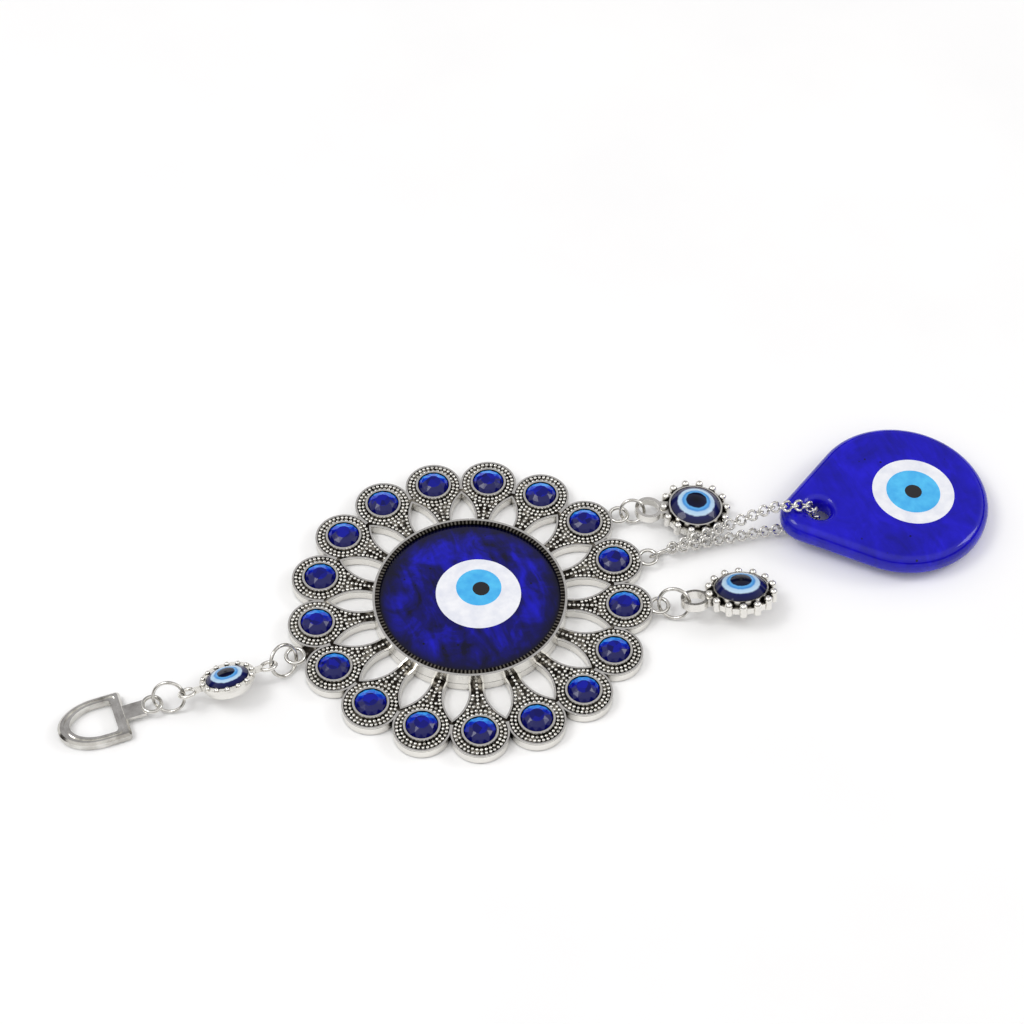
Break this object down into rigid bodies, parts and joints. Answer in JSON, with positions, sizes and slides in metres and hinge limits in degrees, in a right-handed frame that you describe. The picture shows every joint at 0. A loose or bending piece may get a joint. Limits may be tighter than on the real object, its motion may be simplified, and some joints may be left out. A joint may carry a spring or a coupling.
{
  "type": "evil_eye_ornament",
  "caption": "Hanging evil eye ornament: a silver flower medallion with a blue glass eye, a small eye connector and D hanger above, two eye charms and a chained glass teardrop eye below",
  "frame": {"origin": "centre of the medallion's flat back, on the resting plane", "axes": "+X from the hanger down the hanging line to the teardrop, +Z out of the medallion's face, +Y to the wearer's right as seen from the front with the hanger at the top"},
  "size_m": [0.189, 0.071, 0.0095],
  "materials": {
    "cast_silver": "antiqued bright cast alloy, dark in the recesses",
    "polished_silver": "polished plating",
    "wire_silver": "bright plated wire",
    "chain_silver": "bright plated wire links",
    "gem_blue": "faceted cobalt rhinestone on a foil back",
    "cobalt_glass": "deep cobalt glass, seen as opaque from the front",
    "charm_glass": "navy glass with pale blue rings",
    "white_enamel": "opaque white glass",
    "sky_blue": "opaque sky blue glass",
    "dark_pupil": "near black glass",
    "adhesive": "clear-amber set adhesive"
  },
  "bodies": {
    "medallion": {"medallion_frame": "cast_silver", "gems": "gem_blue", "eye_adhesive": "adhesive", "eye_glass": "cobalt_glass", "eye_white": "white_enamel", "eye_iris": "sky_blue", "eye_pupil": "dark_pupil"},
    "top_ring": {"top_ring": "wire_silver"},
    "connector": {"connector_setting": "cast_silver", "connector_eye": "charm_glass"},
    "hanger_ring": {"hanger_ring": "wire_silver"},
    "hanger": {"hanger": "polished_silver"},
    "left_charm_ring": {"left_charm_ring": "wire_silver"},
    "left_charm": {"left_charm_setting": "cast_silver", "left_charm_eye": "charm_glass"},
    "right_charm_ring": {"right_charm_ring": "wire_silver"},
    "right_charm": {"right_charm_setting": "cast_silver", "right_charm_eye": "charm_glass"},
    "chain_ring": {"chain_ring": "wire_silver"},
    "chain_rung_1": {"chain_link_01": "chain_silver", "chain_link_27": "chain_silver"},
    "chain_rung_2": {"chain_link_02": "chain_silver", "chain_link_26": "chain_silver"},
    "chain_rung_3": {"chain_link_03": "chain_silver", "chain_link_25": "chain_silver"},
    "chain_rung_4": {"chain_link_04": "chain_silver", "chain_link_24": "chain_silver"},
    "chain_rung_5": {"chain_link_05": "chain_silver", "chain_link_23": "chain_silver"},
    "chain_rung_6": {"chain_link_06": "chain_silver", "chain_link_22": "chain_silver"},
    "chain_rung_7": {"chain_link_07": "chain_silver", "chain_link_21": "chain_silver"},
    "chain_rung_8": {"chain_link_08": "chain_silver", "chain_link_20": "chain_silver"},
    "chain_rung_9": {"chain_link_09": "chain_silver", "chain_link_19": "chain_silver"},
    "drop": {"drop_glass": "cobalt_glass", "drop_white": "white_enamel", "drop_iris": "sky_blue", "drop_pupil": "dark_pupil", "chain_link_10": "chain_silver", "chain_link_11": "chain_silver", "chain_link_12": "chain_silver", "chain_link_13": "chain_silver", "chain_link_14": "chain_silver", "chain_link_15": "chain_silver", "chain_link_16": "chain_silver", "chain_link_17": "chain_silver", "chain_link_18": "chain_silver"}
  },
  "joints": [
    {"name": "top_ring_hinge", "type": "hinge", "parent": "medallion", "child": "top_ring", "pos_m": [-0.03645, -0.00153, 0.0017], "axis": [0.8746, -0.4848, 0], "range_deg": [-25, 60]},
    {"name": "connector_hinge", "type": "hinge", "parent": "top_ring", "child": "connector", "pos_m": [-0.04088, -0.00214, 0.0041], "axis": [0.1113, 0.6003, 0.792], "range_deg": [-45, 45]},
    {"name": "hanger_ring_hinge", "type": "hinge", "parent": "connector", "child": "hanger_ring", "pos_m": [-0.05823, -0.00261, 0.00359], "axis": [-0.0337, 0.5413, 0.8402], "range_deg": [-40, 40]},
    {"name": "hanger_hinge", "type": "hinge", "parent": "hanger_ring", "child": "hanger", "pos_m": [-0.06375, -0.00145, 0.0017], "axis": [-0.2748, 0.5919, 0.7577], "range_deg": [-60, 60]},
    {"name": "left_charm_ring_hinge", "type": "hinge", "parent": "medallion", "child": "left_charm_ring", "pos_m": [0.03523, -0.01441, 0.0017], "axis": [0.9063, 0.4226, 0], "range_deg": [-15, 60]},
    {"name": "left_charm_hinge", "type": "hinge", "parent": "left_charm_ring", "child": "left_charm", "pos_m": [0.03961, -0.01545, 0.00393], "axis": [-0.009, 0.5803, 0.8144], "range_deg": [-15, 40]},
    {"name": "right_charm_ring_hinge", "type": "hinge", "parent": "medallion", "child": "right_charm_ring", "pos_m": [0.0369, 0.01039, 0.0017], "axis": [0.2079, 0.9781, 0], "range_deg": [-15, 45]},
    {"name": "right_charm_hinge", "type": "hinge", "parent": "right_charm_ring", "child": "right_charm", "pos_m": [0.04013, 0.00948, 0.00268], "axis": [0.0557, 0.5115, 0.8575], "range_deg": [0, 30]},
    {"name": "chain_ring_hinge", "type": "hinge", "parent": "medallion", "child": "chain_ring", "pos_m": [0.03853, -0.00128, 0.0017], "axis": [0.0698, 0.9976, 0], "range_deg": [-15, 50]},
    {"name": "chain_rung_1_hinge", "type": "hinge", "parent": "chain_ring", "child": "chain_rung_1", "pos_m": [0.04173, -0.00128, 0.00263], "axis": [-0.0693, -0.5063, 0.8596], "range_deg": [-2, 1]},
    {"name": "chain_rung_2_hinge", "type": "hinge", "parent": "chain_rung_1", "child": "chain_rung_2", "pos_m": [0.04364, -0.00143, 0.00285], "axis": [-0.08, -0.3533, 0.9321], "range_deg": [-2, 1]},
    {"name": "chain_rung_3_hinge", "type": "hinge", "parent": "chain_rung_2", "child": "chain_rung_3", "pos_m": [0.046, -0.00163, 0.00312], "axis": [-0.0863, -0.231, 0.9691], "range_deg": [-2, 1]},
    {"name": "chain_rung_4_hinge", "type": "hinge", "parent": "chain_rung_3", "child": "chain_rung_4", "pos_m": [0.04835, -0.00182, 0.0034], "axis": [-0.0896, -0.1519, 0.9843], "range_deg": [-2, 1]},
    {"name": "chain_rung_5_hinge", "type": "hinge", "parent": "chain_rung_4", "child": "chain_rung_5", "pos_m": [0.05071, -0.00202, 0.00367], "axis": [-0.0915, -0.0976, 0.991], "range_deg": [-2, 1]},
    {"name": "chain_rung_6_hinge", "type": "hinge", "parent": "chain_rung_5", "child": "chain_rung_6", "pos_m": [0.05306, -0.00221, 0.00395], "axis": [-0.0926, -0.0583, 0.994], "range_deg": [-2, 2]},
    {"name": "chain_rung_7_hinge", "type": "hinge", "parent": "chain_rung_6", "child": "chain_rung_7", "pos_m": [0.05542, -0.00241, 0.00422], "axis": [-0.0934, -0.0286, 0.9952], "range_deg": [-2, 4]},
    {"name": "chain_rung_8_hinge", "type": "hinge", "parent": "chain_rung_7", "child": "chain_rung_8", "pos_m": [0.05777, -0.00261, 0.0045], "axis": [-0.094, -0.0055, 0.9956], "range_deg": [-2, 5]},
    {"name": "chain_rung_9_hinge", "type": "hinge", "parent": "chain_rung_8", "child": "chain_rung_9", "pos_m": [0.06013, -0.0028, 0.00477], "axis": [-0.0944, 0.0129, 0.9955], "range_deg": [-2, 5]},
    {"name": "drop_hinge", "type": "hinge", "parent": "chain_rung_9", "child": "drop", "pos_m": [0.06248, -0.00299, 0.00504], "axis": [-0.0948, 0.028, 0.9951], "range_deg": [-10, 12]}
  ]
}
